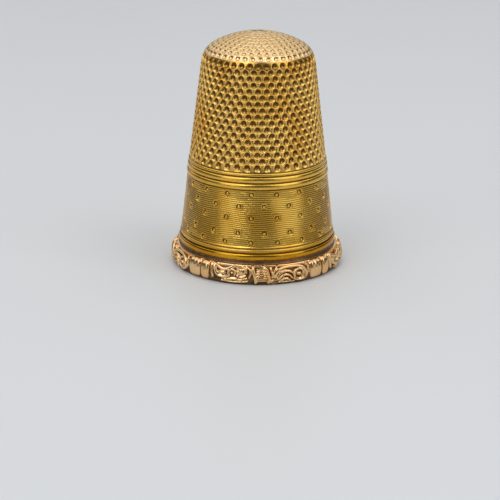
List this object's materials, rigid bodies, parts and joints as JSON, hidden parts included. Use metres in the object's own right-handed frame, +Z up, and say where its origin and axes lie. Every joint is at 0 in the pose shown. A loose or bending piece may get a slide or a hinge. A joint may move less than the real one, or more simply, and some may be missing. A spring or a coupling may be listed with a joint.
{
  "type": "thimble",
  "caption": "Tapered metal sewing thimble with a domed pitted cap, pitted side, beaded and engine-turned band, plain ring and scrolled border round the open mouth.",
  "frame": {"origin": "centre of the open mouth, in the plane of the face it stands on", "axes": "+Z up along the axis of turning, from the mouth to the crown; X and Y are level and alike"},
  "size_m": [0.0172, 0.0172, 0.023],
  "materials": {
    "yellow_gold": "polished yellow gold, lightly worn",
    "rose_gold": "chased rose gold, darkened in the hollows"
  },
  "bodies": {
    "root": {"side_wall": "yellow_gold", "cap": "yellow_gold", "foot_ring": "yellow_gold", "scroll_rim": "rose_gold"}
  },
  "joints": []
}
